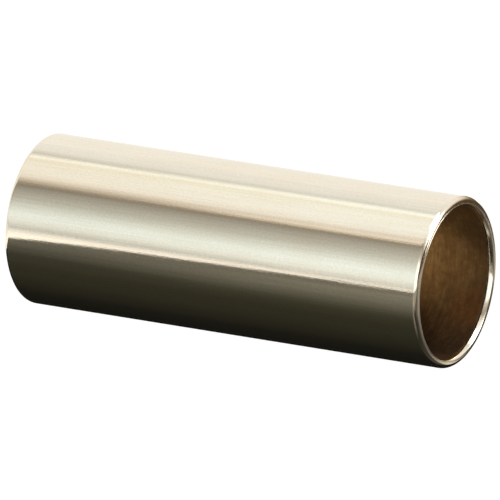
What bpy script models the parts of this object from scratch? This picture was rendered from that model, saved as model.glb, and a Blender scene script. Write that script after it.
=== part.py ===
"""Guitar slide: one plain metal tube, open at both ends, with rounded lips.

The tube lies on its side along X, centred over the origin, and rests on z = 0.
It is turned from a single closed profile, so its wall, bore and lips are one solid.
The turning has flats, which touch the true round surfaces along their middles.
Lengths are in metres.
"""

import math

import bpy

# Driving dimensions
LENGTH = 0.060  # tip of one lip to tip of the other
OUTER_DIAMETER = 0.0222
WALL = 0.00125

# Each lip is rounded off to a quarter superellipse on either side of a narrow flat crest.
# A roundness of 2 is an ellipse, and 1 would be a straight chamfer.
LIP_DEPTH = 0.0007  # along the tube
OUTER_REACH = 0.0007  # across the wall, from the outer surface in
OUTER_ROUNDNESS = 2.0
OUTER_LIP_STEPS = 5
INNER_REACH = 0.00035  # across the wall, from the bore out
INNER_ROUNDNESS = 1.5
INNER_LIP_STEPS = 4

FLATS = 48  # around the tube

# Worked out from the driving dimensions
OUTER_RADIUS = OUTER_DIAMETER / 2
BORE_RADIUS = OUTER_RADIUS - WALL
HALF_A_FLAT = math.pi / FLATS  # as an angle at the axis
TO_CORNER = 1 / math.cos(HALF_A_FLAT)  # a corner's radius, over the radius at a flat's middle

POLISHED_METAL = {
    "Base Color": (0.72, 0.69, 0.63, 1.0),
    "Metallic": 1.0,
    "Roughness": 0.12,
}


def clear_scene():
    for obj in list(bpy.data.objects):
        bpy.data.objects.remove(obj, do_unlink=True)


def make_collection(name):
    collection = bpy.data.collections.new(name)
    bpy.context.scene.collection.children.link(collection)
    return collection


def make_material(name, settings):
    material = bpy.data.materials.new(name)
    material.use_nodes = True
    shader = material.node_tree.nodes["Principled BSDF"]
    for socket, value in settings.items():
        shader.inputs[socket].default_value = value
    return material


def quarter_superellipse(side, reach, roundness, steps):
    """Points (x, radius) of a rounding at the tube's +X end, from the straight wall to the crest.

    side is 1 for the outer surface and -1 for the bore.
    """
    wall_radius = OUTER_RADIUS if side > 0 else BORE_RADIUS
    points = []
    for step in range(steps + 1):
        angle = math.radians(90 * step / steps)
        x = LENGTH / 2 - LIP_DEPTH + LIP_DEPTH * math.sin(angle) ** (2 / roundness)
        inset = reach * (1 - math.cos(angle) ** (2 / roundness))
        points.append((x, wall_radius - side * inset))
    return points


def lip_profile():
    """The +X lip, from the bore over the flat crest to the outer surface."""
    inner = quarter_superellipse(-1, INNER_REACH, INNER_ROUNDNESS, INNER_LIP_STEPS)
    outer = quarter_superellipse(1, OUTER_REACH, OUTER_ROUNDNESS, OUTER_LIP_STEPS)
    return inner + outer[::-1]


def tube_profile():
    """The wall as one closed outline: along the bore to +X, over that lip, and back outside."""
    right_lip = lip_profile()
    left_lip = [(-x, radius) for x, radius in reversed(right_lip)]
    return right_lip + left_lip


def make_tube(collection, material):
    outline = tube_profile()
    vertices = [(x, 0.0, radius * TO_CORNER) for x, radius in outline]
    edges = [(index, (index + 1) % len(outline)) for index in range(len(outline))]
    mesh = bpy.data.meshes.new("slide_tube")
    mesh.from_pydata(vertices, edges, [])
    mesh.materials.append(material)

    tube = bpy.data.objects.new("slide_tube", mesh)
    collection.objects.link(tube)
    tube.location.z = OUTER_RADIUS
    tube.rotation_euler.x = HALF_A_FLAT  # brings a flat, not a corner, to the bottom

    turning = tube.modifiers.new("turned about its axis", "SCREW")
    turning.axis = "X"
    turning.steps = FLATS
    turning.render_steps = FLATS
    turning.use_merge_vertices = True
    turning.merge_threshold = 0.00001
    turning.use_smooth_shade = True
    return tube


def main():
    clear_scene()
    collection = make_collection("guitar_slide")
    polished = make_material("polished_metal", POLISHED_METAL)
    make_tube(collection, polished)


main()
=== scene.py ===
"""Guitar slide: the finished metal tube round its CAD frame, with a small photo studio.

The tube lies along X on the floor, z = 0, and the camera looks at its +X end from the
front, the -Y side. Lengths are in metres. Angles "round the tube" are in degrees at its
axis: 0 is level to the front, 90 straight up and 180 level to the back.
"""

import math

import bpy
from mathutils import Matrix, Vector


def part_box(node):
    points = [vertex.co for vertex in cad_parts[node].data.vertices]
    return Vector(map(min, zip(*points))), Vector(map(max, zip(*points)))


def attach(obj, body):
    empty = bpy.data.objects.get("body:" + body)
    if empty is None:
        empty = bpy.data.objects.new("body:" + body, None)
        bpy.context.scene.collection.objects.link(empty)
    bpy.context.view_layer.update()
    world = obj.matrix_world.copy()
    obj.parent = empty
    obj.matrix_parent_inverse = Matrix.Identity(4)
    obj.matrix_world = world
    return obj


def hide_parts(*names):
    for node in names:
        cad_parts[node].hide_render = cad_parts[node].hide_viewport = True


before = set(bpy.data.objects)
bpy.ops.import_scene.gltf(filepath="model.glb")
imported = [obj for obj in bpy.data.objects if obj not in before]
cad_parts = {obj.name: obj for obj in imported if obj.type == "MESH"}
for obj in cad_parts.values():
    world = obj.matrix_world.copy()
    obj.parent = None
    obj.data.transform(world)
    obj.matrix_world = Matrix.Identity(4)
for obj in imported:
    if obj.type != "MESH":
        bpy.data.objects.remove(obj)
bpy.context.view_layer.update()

MM = 0.001

# The tube, measured from the frame. Its flats touch the true round surfaces.
NODE = "slide_tube"
LOW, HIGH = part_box(NODE)
HALF_LENGTH = (HIGH.x - LOW.x) / 2
OUTER_RADIUS = (HIGH.z - LOW.z) / 2
AXIS_HEIGHT = (HIGH.z + LOW.z) / 2


def corner_radii():
    """Each frame vertex's distance from the tube's axis."""
    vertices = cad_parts[NODE].data.vertices
    return [math.hypot(v.co.y, v.co.z - AXIS_HEIGHT) for v in vertices]


BORE_RADIUS = min(corner_radii()) * OUTER_RADIUS / max(corner_radii())

# Lip roundings, the same as in the CAD part. A roundness of 2 is a quarter ellipse, and the
# inner rounding is nearly a straight chamfer.
LIP_DEPTH = 0.7 * MM
OUTER_REACH = 0.7 * MM
OUTER_ROUNDNESS = 2.0
INNER_REACH = 0.35 * MM
INNER_ROUNDNESS = 1.5
STRAIGHT = HALF_LENGTH - LIP_DEPTH  # where the straight wall ends and a lip begins

# Fineness of the finished mesh
TURNS = 384
OUTER_LIP_STEPS = 18
INNER_LIP_STEPS = 12
WALL_SPANS = 24

# Camera, at the photograph's angle
CAMERA_AZIMUTH = 28.5
CAMERA_ELEVATION = 16.9
CAMERA_DISTANCE = 2.018
CAMERA_LENS = 1134.0
AIM = Vector((0.0, 0.0, AXIS_HEIGHT))

# Surfaces
NICKEL = (0.76, 0.71, 0.60)
BRIGHT_NICKEL = (0.80, 0.75, 0.64)
DULL_NICKEL = (0.73, 0.68, 0.57)
HAZY_NICKEL = (0.72, 0.65, 0.51)
BARE_METAL = (0.21, 0.106, 0.033)
DARKEST_BARE_METAL = (0.10, 0.048, 0.015)
LIGHTEST_BARE_METAL = (0.36, 0.20, 0.07)

# What the bore's brown is multiplied by: painted shade at its mouths and in one spot, and a red stain's
# tint
MOUTH_SHADE = (0.62, 0.62, 0.62)
RED_SHADE = (1.15, 0.95, 0.78)
DARK_SHADE = (0.44, 0.44, 0.46)

# A red stain and a spot of painted shade in the bore's near mouth
RED_STAIN = (HALF_LENGTH - 2.5 * MM, 7.7 * MM, AXIS_HEIGHT - 6.2 * MM)
RED_STAIN_REACH = 4.0 * MM
PAINTED_SHADE_SPOT = (HALF_LENGTH - 1.5 * MM, 9.3 * MM, AXIS_HEIGHT + 3.2 * MM)
PAINTED_SHADE_SPOT_REACH = 5.0 * MM
STAIN_AND_SHADE_MIDDLE = 0.3 * MM  # out to here the red stain and the painted shade spot are at their strongest

MOUTH_DEPTH = 10 * MM  # painted shade: the bore is darkest at its mouths, and has its own colour from here in
HALF_A_SEAM = 0.05 * MM  # between the lip's plating and the bare bore

# Studio
FLOOR_SIZE = 8.0
CARD_DISTANCE = 0.5
LEFT_END = -1.6  # where the long cards end along X
LAMP_DISTANCE = 0.48  # the lamps and strips hang just inside the cards
CARD_SPAN = 4.0  # most degrees between two rows of a card
LAMP = (4.0, 3.9, 3.7)
MIRRORED = (-0.2865, -0.2265)  # the stretch of the cards' x that the camera sees in the tube's side
TABLE_HEIGHT = -MM  # the table and its mats lie just under the floor, which the metal doesn't mirror
MAT_HEIGHT = -MM / 2
GLINT_HEIGHT = -MM / 4
SHADOW_REACH = 0.021  # how far the tube's painted shadow on the dark mat goes along Y
BORE_LIGHT_DISTANCE = 0.6


# ---------------------------------------------------------------- node helpers


class Graph:
    """A short way to add nodes to a material or world and link them."""

    def __init__(self, owner):
        owner.use_nodes = True
        self.tree = owner.node_tree
        self.tree.nodes.clear()

    def add(self, kind, inputs=None, **settings):
        node = self.tree.nodes.new(kind)
        for name, value in settings.items():
            setattr(node, name, value)
        for name, value in (inputs or {}).items():
            self.feed(node.inputs[name], value)
        return node

    def feed(self, socket, value):
        if isinstance(value, bpy.types.NodeSocket):
            self.tree.links.new(value, socket)
        else:
            socket.default_value = value

    def math(self, operation, *values):
        node = self.add("ShaderNodeMath", operation=operation)
        for socket, value in zip(node.inputs, values):
            self.feed(socket, value)
        return node.outputs[0]

    def weighted(self, parts):
        """The sum of (value, weight) parts."""
        total = 0.0
        for value, weight in parts:
            total = self.math("MULTIPLY_ADD", value, weight, total)
        return total

    def between(self, value, low, high, to_low=0.0, to_high=1.0):
        """value mapped smoothly from the range low..high to to_low..to_high."""
        node = self.add("ShaderNodeMapRange", interpolation_type="SMOOTHSTEP")
        for name, number in (
            ("Value", value),
            ("From Min", low),
            ("From Max", high),
            ("To Min", to_low),
            ("To Max", to_high),
        ):
            self.feed(node.inputs[name], number)
        return node.outputs["Result"]

    def scaled(self, vector, scale):
        """vector times scale, part by part."""
        node = self.add("ShaderNodeVectorMath", operation="MULTIPLY")
        self.feed(node.inputs[0], vector)
        self.feed(node.inputs[1], scale)
        return node.outputs[0]

    def near(self, place, spot, inner, outer):
        """1 within inner of the spot, falling to 0 at outer."""
        node = self.add("ShaderNodeVectorMath", operation="DISTANCE")
        self.feed(node.inputs[0], place)
        self.feed(node.inputs[1], spot)
        return self.between(node.outputs["Value"], inner, outer, 1.0, 0.0)

    def noise(self, vector, scale, detail=2.0, roughness=0.5):
        """Noise at scale cells a metre along each axis."""
        node = self.add(
            "ShaderNodeTexNoise",
            {"Vector": self.scaled(vector, scale), "Scale": 1.0, "Detail": detail, "Roughness": roughness},
        )
        return node.outputs["Fac"]

    def mix(self, factor, first, second):
        """A blend of two colours. A Mix node's colour inputs are 6 and 7, and its colour output 2."""
        node = self.add("ShaderNodeMix", data_type="RGBA")
        self.feed(node.inputs[0], factor)
        self.feed(node.inputs[6], first)
        self.feed(node.inputs[7], second)
        return node.outputs[2]

    def ramp(self, factor, stops):
        """stops are (place from 0 to 1, colour)."""
        node = self.add("ShaderNodeValToRGB", {"Fac": factor})
        elements = node.color_ramp.elements
        while len(elements) < len(stops):
            elements.new(1.0)
        for element, (place, colour) in zip(elements, stops):
            element.position = place
            element.color = (*colour, 1.0)
        return node.outputs["Color"]


def opaque(colour):
    return (*colour, 1.0)


# ---------------------------------------------------------------- materials


def surface_bump(graph, heights):
    """Chains one Bump node for each (height, depth in metres)."""
    normal = None
    for height, depth in heights:
        bump = graph.add("ShaderNodeBump", {"Height": height, "Distance": depth, "Strength": 1.0})
        if normal is not None:
            graph.feed(bump.inputs["Normal"], normal)
        normal = bump.outputs["Normal"]
    return normal


def plated_metal():
    """Polished nickel plate with fine polishing marks along it, a fine grain and a faint haze."""
    material = bpy.data.materials.new("plated_metal")
    graph = Graph(material)
    place = graph.add("ShaderNodeTexCoord").outputs["Object"]

    haze = graph.noise(place, (160, 260, 260), detail=3.0)
    marks = graph.noise(place, (90, 4200, 4200), detail=3.0, roughness=0.6)
    grain = graph.noise(place, (4000, 4000, 4000), detail=2.0, roughness=0.7)
    swell = graph.noise(place, (120, 320, 320), detail=1.0)

    texture = graph.weighted([(marks, 0.45), (grain, 0.55)])
    shine = graph.ramp(texture, [(0.38, DULL_NICKEL), (0.62, BRIGHT_NICKEL)])
    colour = graph.mix(graph.between(haze, 0.35, 0.75, 0.0, 0.25), shine, opaque(HAZY_NICKEL))
    roughness = graph.weighted([(graph.between(haze, 0.3, 0.8), 0.02), (marks, 0.05), (1.0, 0.06)])

    normal = surface_bump(graph, [(swell, 0.9e-6), (marks, 3.5e-6), (grain, 4.0e-6)])
    shader = graph.add(
        "ShaderNodeBsdfPrincipled",
        {"Base Color": colour, "Roughness": roughness, "Normal": normal, "Metallic": 1.0},
    )
    graph.add("ShaderNodeOutputMaterial", {"Surface": shader.outputs[0]})
    return material


def bare_bore():
    """The dull unpolished bore: brown stained metal with draw marks, plated at its mouths, with painted
    shade towards its mouths and in one spot by the near mouth.
    """
    material = bpy.data.materials.new("bare_bore")
    graph = Graph(material)
    place = graph.add("ShaderNodeTexCoord").outputs["Object"]

    stains = graph.noise(place, (260, 200, 200), detail=5.0, roughness=0.6)
    streaks = graph.noise(place, (2600, 160, 160), detail=4.0, roughness=0.6)
    grit = graph.noise(place, (4200, 4200, 4200), detail=2.0)

    speckle = graph.noise(place, (1500, 1100, 1100), detail=3.0, roughness=0.7)
    brown = graph.ramp(
        graph.weighted([(stains, 0.4), (speckle, 0.35), (streaks, 0.25)]),
        [(0.32, DARKEST_BARE_METAL), (0.50, BARE_METAL), (0.68, LIGHTEST_BARE_METAL)],
    )
    x = graph.add("ShaderNodeSeparateXYZ", {"Vector": place}).outputs["X"]
    depth = graph.math("SUBTRACT", STRAIGHT, graph.math("ABSOLUTE", x))
    inwards = graph.math("DIVIDE", depth, MOUTH_DEPTH)
    # painted shade: the bore's brown is darker towards its mouths
    shade = graph.ramp(inwards, [(0.0, MOUTH_SHADE), (1.0, (1.0, 1.0, 1.0))])
    red = graph.near(place, RED_STAIN, STAIN_AND_SHADE_MIDDLE, RED_STAIN_REACH)
    shade = graph.mix(red, shade, opaque(RED_SHADE))
    # painted shade: a darker spot on the bore's upper back wall just inside the near mouth
    dark = graph.near(place, PAINTED_SHADE_SPOT, STAIN_AND_SHADE_MIDDLE, PAINTED_SHADE_SPOT_REACH)
    shade = graph.mix(dark, shade, opaque(DARK_SHADE))
    brown = graph.scaled(brown, shade)
    inside = graph.between(depth, -HALF_A_SEAM, HALF_A_SEAM)
    colour = graph.mix(inside, opaque(NICKEL), brown)
    roughness = graph.between(inside, 0.0, 1.0, 0.2, 0.55)
    metallic = graph.between(inside, 0.0, 1.0, 1.0, 0.0)

    normal = surface_bump(graph, [(streaks, 6e-6), (grit, 4e-6)])
    shader = graph.add(
        "ShaderNodeBsdfPrincipled",
        {
            "Base Color": colour,
            "Roughness": roughness,
            "Metallic": metallic,
            "Specular IOR Level": 0.2,
            "Normal": normal,
        },
    )
    graph.add("ShaderNodeOutputMaterial", {"Surface": shader.outputs[0]})
    return material


# ---------------------------------------------------------------- the tube


def rounding(middle_radius, reach, roundness, start, end, steps):
    """A quarter superellipse of the +X lip as (x, radius, normal's x, normal's radial part). The
    angles start and end are from the crest: the bore's side is below 0, the outside above."""
    points = []
    for step in range(steps + 1):
        angle = math.radians(start + (end - start) * step / steps)
        along, across = abs(math.cos(angle)), abs(math.sin(angle))
        side = 1.0 if start + end > 0 else -1.0
        x = STRAIGHT + LIP_DEPTH * along ** (2 / roundness)
        radius = middle_radius + side * reach * across ** (2 / roundness)
        lean = 2 - 2 / roundness
        slope = Vector((along**lean / LIP_DEPTH, side * across**lean / reach)).normalized()
        points.append((x, radius, slope.x, slope.y))
    return points


def straight_wall(radius, facing, start, end):
    """Points strictly between two ends of a straight wall."""
    steps = [step / WALL_SPANS for step in range(1, WALL_SPANS)]
    return [(start + (end - start) * step, radius, 0.0, facing) for step in steps]


def tube_outline():
    """The wall's closed outline, from the near lip over the outside and the far lip and back along
    the bore, and how many of its points come before the bore's own."""
    inner = (BORE_RADIUS + INNER_REACH, INNER_REACH, INNER_ROUNDNESS)
    outer = (OUTER_RADIUS - OUTER_REACH, OUTER_REACH, OUTER_ROUNDNESS)
    right_lip = rounding(*inner, -90, 0, INNER_LIP_STEPS) + rounding(*outer, 0, 90, OUTER_LIP_STEPS)
    left_lip = [(-x, radius, -nx, nr) for x, radius, nx, nr in reversed(right_lip)]
    outside = straight_wall(OUTER_RADIUS, 1.0, STRAIGHT, -STRAIGHT)
    bore = straight_wall(BORE_RADIUS, -1.0, -STRAIGHT, STRAIGHT)
    polished = right_lip + outside + left_lip
    return polished + bore, len(polished)


def finished_tube():
    """The tube as a fine turned mesh with exact normals, so that it mirrors without facets."""
    outline, polished_count = tube_outline()
    count = len(outline)
    vertices, normals = [], []
    for turn in range(TURNS):
        angle = 2 * math.pi * turn / TURNS
        out_y, out_z = math.sin(angle), -math.cos(angle)
        for x, radius, along, outward in outline:
            vertices.append((x, radius * out_y, AXIS_HEIGHT + radius * out_z))
            normals.append((along, outward * out_y, outward * out_z))

    first_bore_face = polished_count - 1  # it joins the last polished point to the first in the bore
    faces, in_bore = [], []
    for turn in range(TURNS):
        this, after = turn * count, (turn + 1) % TURNS * count
        for point in range(count):
            following = (point + 1) % count
            faces.append((this + point, this + following, after + following, after + point))
            in_bore.append(point >= first_bore_face)

    mesh = bpy.data.meshes.new("finished_tube")
    mesh.from_pydata(vertices, [], faces)
    mesh.materials.append(plated_metal())
    mesh.materials.append(bare_bore())
    for face, bored in zip(mesh.polygons, in_bore):
        face.material_index = int(bored)
    mesh.shade_smooth()
    mesh.normals_split_custom_set_from_vertices(normals)

    tube = bpy.data.objects.new("finished_tube", mesh)
    bpy.context.scene.collection.objects.link(tube)
    return tube


# ---------------------------------------------------------------- studio


def round_the_tube(angle, distance):
    """(y, z) of a place round the tube at that angle and distance from its axis."""
    turn = math.radians(angle)
    return -distance * math.cos(turn), AXIS_HEIGHT + distance * math.sin(turn)


def stage_object(name, vertices, faces, material):
    mesh = bpy.data.meshes.new(name)
    mesh.from_pydata(vertices, [], faces)
    mesh.materials.append(material)
    obj = bpy.data.objects.new(name, mesh)
    bpy.context.scene.collection.objects.link(obj)
    return obj


def card_light():
    """Glows with each vertex's own colour."""
    material = bpy.data.materials.new("card_light")
    graph = Graph(material)
    colour = graph.add("ShaderNodeAttribute", attribute_name="light").outputs["Color"]
    glow = graph.add("ShaderNodeEmission", {"Color": colour, "Strength": 1.0})
    graph.add("ShaderNodeOutputMaterial", {"Surface": glow.outputs[0]})
    return material


def mirrored_sheet(name, rows, material):
    """A glowing sheet that is seen only in the metal: not by the camera, and with no light or shadow
    on the floor. rows are equally long lists of (place, colour)."""
    width = len(rows[0])
    points = [point for row in rows for point in row]
    faces = []
    for row in range(len(rows) - 1):
        for column in range(width - 1):
            corner = row * width + column
            faces.append((corner, corner + 1, corner + width + 1, corner + width))
    sheet = stage_object(name, [place for place, colour in points], faces, material)
    light = sheet.data.attributes.new("light", "FLOAT_COLOR", "POINT")
    for entry, (place, colour) in zip(light.data, points):
        entry.color = (*colour, 1.0)
    sheet.visible_camera = False
    sheet.visible_diffuse = False
    sheet.visible_shadow = False
    sheet.visible_transmission = False
    sheet.visible_volume_scatter = False


def blend(first, second, share):
    return tuple(a + (b - a) * share for a, b in zip(first, second))


def card_rows(stops):
    """The stops with evenly blended rows put in between, CARD_SPAN degrees apart or closer."""
    rows = []
    for (low, low_lean, low_colour), (high, high_lean, high_colour) in zip(stops, stops[1:]):
        spans = math.ceil((high - low) / CARD_SPAN)
        for span in range(spans):
            share = span / spans
            angle, lean = blend((low, low_lean), (high, high_lean), share)
            rows.append((angle, lean, blend(low_colour, high_colour, share)))
    return rows + [stops[-1]]


def card(name, material, reach, stops, distance=CARD_DISTANCE, gain=(0.0, 0.0, 0.0)):
    """A sheet bent round the tube, from reach[0] to reach[1] along X. stops are (angle, lean,
    colour): lean is how many degrees the angle grows along the mirrored stretch, and gain is how
    much of itself the light grows by."""
    start, end = reach
    columns = [start] + [x for x in MIRRORED if start < x < end] + [end]
    sheet = []
    for angle, lean, colour in card_rows(stops):
        row = []
        for x in columns:
            share = (x - MIRRORED[0]) / (MIRRORED[1] - MIRRORED[0])
            share = min(1.0, max(0.0, share)) - 0.5
            y, z = round_the_tube(angle + lean * share, distance)
            light = tuple(part * (1 + more * share) for part, more in zip(colour, gain))
            row.append(((x, y, z), light))
        sheet.append(row)
    mirrored_sheet(name, sheet, material)


def cards(material):
    """The curved cards round the tube, and the lamps and strips just inside them."""
    card(
        "front_card",
        material,
        (LEFT_END, 0.11),
        [
            (-3.0, 0, (0.75, 0.75, 0.71)),
            (1.5, 0, (0.73, 0.75, 0.71)),
            (3.5, 1, (0.85, 0.86, 0.82)),
            (6.5, 1, (0.99, 1.01, 0.98)),
            (10.0, 0, (1.05, 1.10, 1.08)),
            (15.0, 0, (1.12, 1.20, 1.22)),
            (21.0, 0, (1.08, 1.16, 1.17)),
            (26.0, 0, (0.97, 1.03, 1.02)),
            (32.0, 0, (0.82, 0.86, 0.83)),
            (38.0, 0, (0.67, 0.68, 0.64)),
            (44.0, 0, (0.58, 0.57, 0.53)),
            (50.0, 0, (0.49, 0.475, 0.43)),
            (55.0, 0, (0.40, 0.375, 0.33)),
            (57.6, 0, (0.33, 0.29, 0.235)),
            (59.5, -1, (0.38, 0.325, 0.265)),
            (61.7, -2, (0.57, 0.49, 0.40)),
            (64.8, 0, (0.70, 0.62, 0.52)),
            (68.0, 0, (0.92, 0.85, 0.765)),
        ],
        gain=(0.08, 0.08, 0.08),
    )
    card(
        "front_right_card",
        material,
        (0.11, 0.98),
        [
            (-3.0, 0, (1.7, 1.65, 1.6)),
            (35.0, 0, (1.7, 1.65, 1.6)),
            (42.0, 0, (0.8, 0.75, 0.7)),
            (58.0, 0, (0.40, 0.35, 0.28)),
            (68.0, 0, (0.93, 0.86, 0.77)),
        ],
    )
    card(
        "seam_strip",
        material,
        (MIRRORED[0] + 0.042, 0.11),
        [
            (61.2, -1, (0.80, 0.70, 0.57)),
            (64.2, 0, (1.15, 1.03, 0.90)),
            (66.4, 0, (0.95, 0.87, 0.78)),
        ],
        distance=LAMP_DISTANCE,
    )
    card(
        "low_strip",
        material,
        (MIRRORED[1] - 0.012, 0.11),
        [(-3.0, 0, (1.2, 1.1, 1.0)), (-0.4, 2, (1.2, 1.1, 1.0))],
        distance=LAMP_DISTANCE,
    )
    card(
        "overhead_card",
        material,
        (LEFT_END, 0.98),
        [
            (68.0, 0, (0.93, 0.86, 0.77)),
            (71.0, 0, (1.11, 1.06, 0.99)),
            (75.0, 0, (1.14, 1.10, 1.04)),
            (79.0, 0, (1.17, 1.16, 1.12)),
            (95.0, 2, (1.17, 1.155, 1.09)),
            (102.2, 3, (1.12, 1.09, 0.95)),
            (104.2, 3, (1.24, 1.24, 1.15)),
            (106.2, 3, (1.42, 1.44, 1.38)),
            (108.7, 3, (1.13, 1.15, 1.12)),
            (110.8, 5, (0.89, 0.89, 0.86)),
            (114.0, 3, (0.82, 0.82, 0.78)),
            (117.0, 1, (1.03, 1.02, 1.00)),
        ],
        gain=(0.05, 0.09, 0.13),
    )
    card(
        "back_card",
        material,
        (LEFT_END, -0.14),
        [
            (117.0, 1, (1.03, 1.02, 1.00)),
            (121.0, 2, (1.06, 1.05, 1.03)),
            (132.0, 1, (1.09, 1.07, 1.05)),
            (141.0, 0, (1.15, 1.115, 1.07)),
            (159.0, 0, (1.10, 1.07, 1.01)),
            (183.0, 0, (1.02, 0.98, 0.92)),
        ],
    )
    card(
        "back_right_card",
        material,
        (-0.14, 0.95),
        [
            (117.0, 1, (1.03, 1.02, 1.00)),
            (141.0, 0, (1.15, 1.10, 1.05)),
            (150.0, 0, (1.12, 1.04, 0.97)),
            (159.0, 0, (1.00, 0.90, 0.80)),
            (164.0, 0, (0.88, 0.77, 0.67)),
            (169.0, 0, (0.50, 0.41, 0.32)),
            (175.0, 0, (0.20, 0.14, 0.08)),
            (183.0, 0, (0.12, 0.08, 0.04)),
        ],
    )
    lamps = [
        ("overhead_lamp", (-0.05, 0.95), 84.0, 110.0),
        ("right_lamp", (0.40, 0.95), 110.0, 138.0),
        ("low_right_lamp", (0.56, 1.05), 138.0, 183.0),
    ]
    for name, reach, low, high in lamps:
        card(name, material, reach, [(low, 0, LAMP), (high, 0, LAMP)], distance=LAMP_DISTANCE)


def left_card(material):
    """An upright card across the left end of the long cards."""
    colour = (1.1, 1.05, 0.97)
    half = CARD_DISTANCE
    low = [((LEFT_END, -half, 0.0), colour), ((LEFT_END, half, 0.0), colour)]
    high = [((LEFT_END, -half, half), colour), ((LEFT_END, half, half), colour)]
    mirrored_sheet("left_card", [low, high], material)


def flat_sheet(name, height, rows, material):
    """A level sheet. rows are (y, [(x, light), ...])."""
    sheet = [[((x, y, height), light) for x, light in row] for y, row in rows]
    mirrored_sheet(name, sheet, material)


def pale_table(material):
    """The pale table that the tube lies on, brighter to the right and far out in front."""
    end = FLOOR_SIZE / 4
    left, middle, right = (0.98, 0.98, 0.96), (1.15, 1.10, 1.06), (1.5, 1.4, 1.3)
    brightest = (1.9, 1.8, 1.7)
    far = [(-end, left), (-0.16, left), (-0.135, right), (-0.11, brightest), (end, brightest)]
    near = [(-end, left), (-0.16, left), (-0.10, middle), (-0.07, right), (end, right)]
    back = [(x, (1.08, 1.05, 1.02)) for x, _ in near]
    rows = [(-end, far), (-0.30, far), (-0.16, near), (-0.05, near), (0.05, back), (end, back)]
    flat_sheet("pale_table", TABLE_HEIGHT, rows, material)


def dark_mat(material):
    """A dark mat on the table, with the tube's shadow painted into its glow: darker still near the tube.
    """
    # (y, the mat's left edge, light)
    rows = [
        (-0.450, -0.150, (0.200, 0.185, 0.150)),
        (-0.245, -0.097, (0.210, 0.195, 0.160)),
        (-0.160, -0.068, (0.230, 0.210, 0.175)),
        (-0.105, -0.057, (0.245, 0.225, 0.185)),
        (-0.060, -0.0538, (0.225, 0.214, 0.180)),
        (-0.040, -0.054, (0.180, 0.173, 0.140)),
        (-0.028, -0.055, (0.106, 0.102, 0.079)),
        (-0.024, -0.055, (0.066, 0.064, 0.045)),
        (-0.020, -0.055, (0.048, 0.047, 0.031)),
        (-0.016, -0.055, (0.036, 0.035, 0.022)),
        (-0.012, -0.055, (0.030, 0.030, 0.019)),
        (-0.009, -0.055, (0.021, 0.021, 0.014)),
        (-0.007, -0.055, (0.012, 0.012, 0.009)),
        (-0.004, -0.055, (0.009, 0.009, 0.007)),
        (0.012, -0.055, (0.012, 0.012, 0.009)),
        (0.020, -0.055, (0.35, 0.31, 0.26)),
        (0.036, -0.055, (0.46, 0.41, 0.35)),
    ]
    # (x, how bright the mat is there outside the painted shadow)
    gains = [(-0.030, 0.82), (-0.008, 1.04), (0.031, 1.12)]
    sheet = []
    for y, edge, light in rows:
        columns = [(edge, 0.70)] + gains
        if abs(y) < SHADOW_REACH:
            columns = [(x, 1.0) for x, _ in columns]
        sheet.append((y, [(x, blend((0, 0, 0), light, gain)) for x, gain in columns]))
    flat_sheet("dark_mat", MAT_HEIGHT, sheet, material)


def beige(level):
    return (level, 0.9 * level, 0.76 * level)


def mats_beside_the_lip(material):
    """What only the near lip mirrors: the table to its right and behind it, brown further out, with the
    tube's shadow and patches of light painted into its glow.
    """
    places = (0.031, 0.034, 0.038, 0.047, 0.054, 1.0)  # along X
    # (y, how light the table is at each of the places)
    right = [
        (-0.450, (0.05, 0.08, 0.15, 0.35, 0.38, 0.40)),
        (-0.045, (0.40, 0.45, 0.45, 0.60, 0.40, 0.40)),
        (-0.025, (0.40, 0.30, 0.05, 0.06, 0.12, 0.40)),
        (-0.012, (0.04, 0.03, 0.03, 0.05, 0.14, 0.40)),
        (-0.001, (0.10, 0.06, 0.08, 0.10, 0.22, 0.45)),
        (0.001, (1.20, 0.60, 0.15, 0.18, 0.30, 0.45)),
        (0.004, (0.40, 0.08, 0.16, 0.20, 0.32, 0.45)),
        (0.008, (0.08, 0.06, 0.15, 0.24, 0.35, 0.46)),
        (0.020, (0.08, 0.06, 0.06, 0.28, 0.42, 0.50)),
        (0.030, (0.25, 0.10, 0.08, 0.12, 0.46, 0.50)),
        (0.036, (0.35, 0.30, 0.20, 0.15, 0.48, 0.50)),
    ]
    rows = [(y, [(x, beige(level)) for x, level in zip(places, levels)]) for y, levels in right]
    flat_sheet("right_mat", MAT_HEIGHT, rows, material)

    # (y, light)
    behind = [
        (0.036, beige(0.46)),
        (0.048, beige(0.44)),
        (0.056, (0.16, 0.12, 0.08)),
        (0.065, (0.09, 0.06, 0.035)),
        (1.900, (0.10, 0.06, 0.03)),
    ]
    rows = [(y, [(-0.010, (1.05, 1.02, 0.98)), (0.020, light), (1.0, light)]) for y, light in behind]
    flat_sheet("behind_mat", MAT_HEIGHT, rows, material)


def glint(material):
    """A small white patch behind the tube, which the crest of the near lip mirrors."""
    white = (2.5, 2.4, 2.2)
    rows = [(y, [(0.057, white), (0.064, white)]) for y in (0.045, 0.058)]
    flat_sheet("glint", GLINT_HEIGHT, rows, material)


def floor():
    """Pale, and part of its light is its own, so that the tube's shadow on it stays faint."""
    material = bpy.data.materials.new("pale_floor")
    graph = Graph(material)
    shader = graph.add(
        "ShaderNodeBsdfPrincipled",
        {
            "Base Color": opaque((0.5, 0.5, 0.5)),
            "Roughness": 0.9,
            "Specular IOR Level": 0.0,
            "Emission Color": opaque((1.0, 1.0, 1.0)),
            "Emission Strength": 0.985,
        },
    )
    graph.add("ShaderNodeOutputMaterial", {"Surface": shader.outputs[0]})
    half = FLOOR_SIZE / 2
    corners = [(-half, -half, 0), (half, -half, 0), (half, half, 0), (-half, half, 0)]
    pale = stage_object("pale_floor", corners, [(0, 1, 2, 3)], material)
    pale.visible_glossy = False
    pale.visible_diffuse = False
    pale.visible_shadow = False


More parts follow.
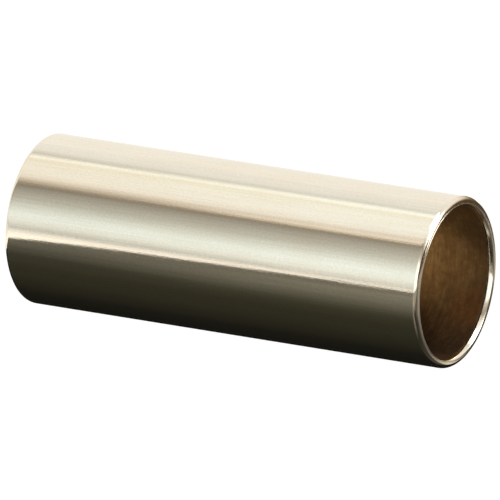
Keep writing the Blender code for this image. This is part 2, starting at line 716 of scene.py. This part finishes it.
def surroundings():
    """White for the camera, a soft even light for the floor, and a dim brown room for the metal."""
    world = bpy.data.worlds.new("studio")
    bpy.context.scene.world = world
    graph = Graph(world)
    path = graph.add("ShaderNodeLightPath")
    light = graph.mix(path.outputs["Is Camera Ray"], opaque((0.06, 0.06, 0.06)), opaque((1.1, 1.1, 1.1)))
    light = graph.mix(path.outputs["Is Glossy Ray"], light, opaque((0.10, 0.06, 0.03)))
    glow = graph.add("ShaderNodeBackground", {"Color": light, "Strength": 1.0})
    graph.add("ShaderNodeOutputWorld", {"Surface": glow.outputs[0]})


def bore_light(name, towards, size, power):
    """A soft lamp that shines into the bore, and that the metal doesn't mirror. towards is the way
    to it from the tube's middle."""
    data = bpy.data.lights.new(name, "AREA")
    data.shape = "SQUARE"
    data.size = size
    data.energy = power
    lamp = bpy.data.objects.new(name, data)
    direction = Vector(towards).normalized()
    lamp.location = AIM + direction * BORE_LIGHT_DISTANCE
    lamp.rotation_euler = (-direction).to_track_quat("-Z", "Y").to_euler()
    lamp.visible_glossy = False
    lamp.visible_camera = False
    bpy.context.scene.collection.objects.link(lamp)


def camera():
    azimuth, elevation = math.radians(CAMERA_AZIMUTH), math.radians(CAMERA_ELEVATION)
    back = Vector(
        (
            math.sin(azimuth) * math.cos(elevation),
            -math.cos(azimuth) * math.cos(elevation),
            math.sin(elevation),
        )
    )
    data = bpy.data.cameras.new("camera")
    data.lens = CAMERA_LENS
    data.clip_start, data.clip_end = 0.1, 20.0
    obj = bpy.data.objects.new("camera", data)
    obj.location = AIM + back * CAMERA_DISTANCE
    obj.rotation_euler = (-back).to_track_quat("-Z", "Y").to_euler()
    bpy.context.scene.collection.objects.link(obj)
    bpy.context.scene.camera = obj


tube = finished_tube()
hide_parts(NODE)
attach(tube, "root")

floor()
surroundings()
glow = card_light()
pale_table(glow)
dark_mat(glow)
mats_beside_the_lip(glow)
glint(glow)
cards(glow)
left_card(glow)
bore_light("right_bore_light", (0.62, -0.77, -0.10), 0.15, 1.12)
bore_light("left_bore_light", (-1.0, -0.335, 0.02), 0.04, 4.6)
camera()
bpy.context.scene.view_settings.view_transform = "Standard"
